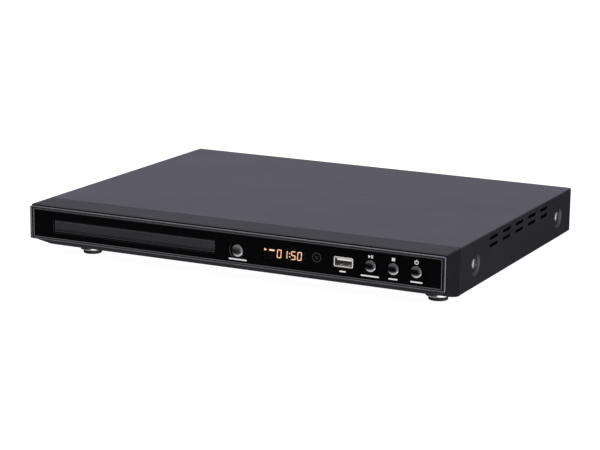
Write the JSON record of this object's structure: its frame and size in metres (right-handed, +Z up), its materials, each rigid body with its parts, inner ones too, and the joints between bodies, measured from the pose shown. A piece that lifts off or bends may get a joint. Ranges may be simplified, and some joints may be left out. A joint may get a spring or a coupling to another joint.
{
  "type": "disc player with front tray",
  "caption": "Slim table-top disc player: steel case with side vents and feet, gloss front with sliding disc tray, lit readout, USB socket and push buttons, and the working disc drive inside.",
  "frame": {"origin": "middle of the object's box, on the surface that the feet stand on", "axes": "+X to the right seen from the front, +Y to the back, +Z up; the tray opens towards -Y"},
  "size_m": [0.32, 0.2594, 0.0375],
  "materials": {
    "cover_paint": "fine charcoal paint",
    "rear_paint": "satin",
    "plated_steel": "zinc plated",
    "screw_steel": "plated",
    "bezel_plastic": "fine grain",
    "silver_trim": "satin silver",
    "gloss_black": "high gloss",
    "smoked_window": "smoked",
    "foot_metal": "satin",
    "black_rubber": "matte",
    "circuit_green": "solder mask",
    "circuit_tan": "paper laminate",
    "switch_plastic": "moulded",
    "amber_light": "lit",
    "bright_shell": "tinned",
    "tongue_white": "moulded",
    "socket_black": "moulded",
    "chip_black": "moulded epoxy",
    "capacitor_sleeve": "shrink sleeve",
    "connector_ivory": "nylon",
    "transformer_tape": "tape",
    "heat_sink_alu": "extruded",
    "ribbon_grey": "flat cable",
    "lead_sleeve": "wire sleeve",
    "loader_plastic": "glass-filled",
    "tray_plastic": "fine satin",
    "door_plastic": "satin lacquer",
    "white_nylon": "acetal",
    "magnet_grey": "sintered",
    "motor_steel": "plated can",
    "rod_steel": "ground",
    "turntable_plastic": "moulded",
    "screw_brass": "turned",
    "pickup_metal": "die cast",
    "lens_clear": "coated lens",
    "button_grey": "satin dome",
    "button_gloss": "gloss dome"
  },
  "bodies": {
    "chassis": {"top_cover": "cover_paint", "rear_panel": "rear_paint", "bottom_pan": "plated_steel", "clamp_bridge": "plated_steel", "board_standoffs": "plated_steel", "case_screws": "screw_steel", "foot_screws": "screw_steel", "inner_screws": "screw_steel", "front_bezel": "bezel_plastic", "front_trim": "silver_trim", "front_panel": "gloss_black", "display_window": "smoked_window", "foot_rings": "foot_metal", "foot_pads": "black_rubber", "grommets": "black_rubber", "drive_belt": "black_rubber", "front_board": "circuit_green", "main_board": "circuit_green", "power_board": "circuit_tan", "tact_switches": "switch_plastic", "led_display": "switch_plastic", "ir_receiver": "switch_plastic", "display_segments": "amber_light", "usb_shell": "bright_shell", "av_barrels": "bright_shell", "hdmi_socket": "bright_shell", "usb_tongue": "tongue_white", "mains_inlet": "socket_black", "av_jacks": "socket_black", "scart_socket": "socket_black", "main_chips": "chip_black", "capacitors": "capacitor_sleeve", "board_connectors": "connector_ivory", "transformer": "transformer_tape", "heat_sink": "heat_sink_alu", "ribbon_cables": "ribbon_grey", "power_leads": "lead_sleeve", "loader_frame": "loader_plastic", "loading_motor": "motor_steel"},
    "tray": {"disc_tray": "tray_plastic", "tray_door": "door_plastic"},
    "tray_gear": {"tray_gear": "white_nylon"},
    "pulley_gear": {"pulley_gear": "white_nylon"},
    "motor_pulley": {"motor_pulley": "white_nylon"},
    "cam": {"cam_slider": "white_nylon"},
    "traverse": {"traverse_frame": "loader_plastic", "guide_rods": "rod_steel", "spindle_motor": "motor_steel", "sled_motor": "motor_steel"},
    "spindle": {"turntable": "turntable_plastic", "turntable_mat": "black_rubber"},
    "lead_screw": {"lead_screw": "screw_brass"},
    "pickup": {"pickup_body": "pickup_metal", "pickup_lens": "lens_clear"},
    "clamp": {"clamp_puck": "white_nylon", "puck_magnet": "magnet_grey"},
    "open_close_button": {"open_close_button": "button_grey"},
    "play_pause_button": {"play_pause_button": "button_gloss"},
    "stop_button": {"stop_button": "button_gloss"},
    "power_button": {"power_button": "button_gloss"}
  },
  "joints": [
    {"name": "tray_slide", "type": "slide", "parent": "chassis", "child": "tray", "axis": [0, -1, 0], "range_m": [0, 0.131]},
    {"name": "tray_gear_spin", "type": "hinge", "parent": "chassis", "child": "tray_gear", "pos_m": [-0.0293, -0.09425, 0.015], "axis": [0, 0, -1], "range_deg": [0, 940]},
    {"name": "pulley_gear_spin", "type": "hinge", "parent": "chassis", "child": "pulley_gear", "pos_m": [-0.0473, -0.09425, 0.015], "axis": [0, 0, 1], "range_deg": [0, 1880]},
    {"name": "motor_pulley_spin", "type": "hinge", "parent": "chassis", "child": "motor_pulley", "pos_m": [-0.0888, -0.09425, 0.018], "axis": [0, 0, 1], "range_deg": [0, 4950]},
    {"name": "traverse_lift", "type": "hinge", "parent": "chassis", "child": "traverse", "pos_m": [-0.0748, 0.03675, 0.0177], "axis": [-1, 0, 0], "range_deg": [0, 4.2]},
    {"name": "cam_slide", "type": "slide", "parent": "chassis", "child": "cam", "axis": [-1, 0, 0], "range_m": [0, 0.01205]},
    {"name": "spindle_spin", "type": "hinge", "parent": "traverse", "child": "spindle", "pos_m": [-0.0748, -0.05816, 0.01304], "axis": [0, -0.0732, 0.9973], "continuous": true},
    {"name": "clamp_spin", "type": "hinge", "parent": "chassis", "child": "clamp", "pos_m": [-0.0748, -0.05825, 0.029], "axis": [0, 0, 1], "continuous": true},
    {"name": "sled_slide", "type": "slide", "parent": "traverse", "child": "pickup", "axis": [0, 0.9973, 0.0732], "range_m": [-0.016, 0.018]},
    {"name": "lead_screw_spin", "type": "hinge", "parent": "traverse", "child": "lead_screw", "pos_m": [-0.0438, -0.01787, 0.01058], "axis": [0, 0.9973, 0.0732], "range_deg": [-1925, 2165]},
    {"name": "open_close_press", "type": "slide", "parent": "chassis", "child": "open_close_button", "axis": [0, 1, 0], "range_m": [0, 0.0005], "stiffness_N_per_m": 600},
    {"name": "play_pause_press", "type": "slide", "parent": "chassis", "child": "play_pause_button", "axis": [0, 1, 0], "range_m": [0, 0.0005], "stiffness_N_per_m": 600},
    {"name": "stop_press", "type": "slide", "parent": "chassis", "child": "stop_button", "axis": [0, 1, 0], "range_m": [0, 0.0005], "stiffness_N_per_m": 600},
    {"name": "power_press", "type": "slide", "parent": "chassis", "child": "power_button", "axis": [0, 1, 0], "range_m": [0, 0.0005], "stiffness_N_per_m": 600}
  ],
  "couplings": [
    {"joint": "tray_gear_spin", "follows": "tray_slide", "rad_per_m": 125},
    {"joint": "pulley_gear_spin", "follows": "tray_slide", "rad_per_m": 250},
    {"joint": "motor_pulley_spin", "follows": "tray_slide", "rad_per_m": 658.33},
    {"joint": "cam_slide", "follows": "traverse_lift", "m_per_rad": 0.1637},
    {"joint": "clamp_spin", "follows": "spindle_spin", "ratio": 1},
    {"joint": "lead_screw_spin", "follows": "sled_slide", "rad_per_m": 2094.4}
  ]
}
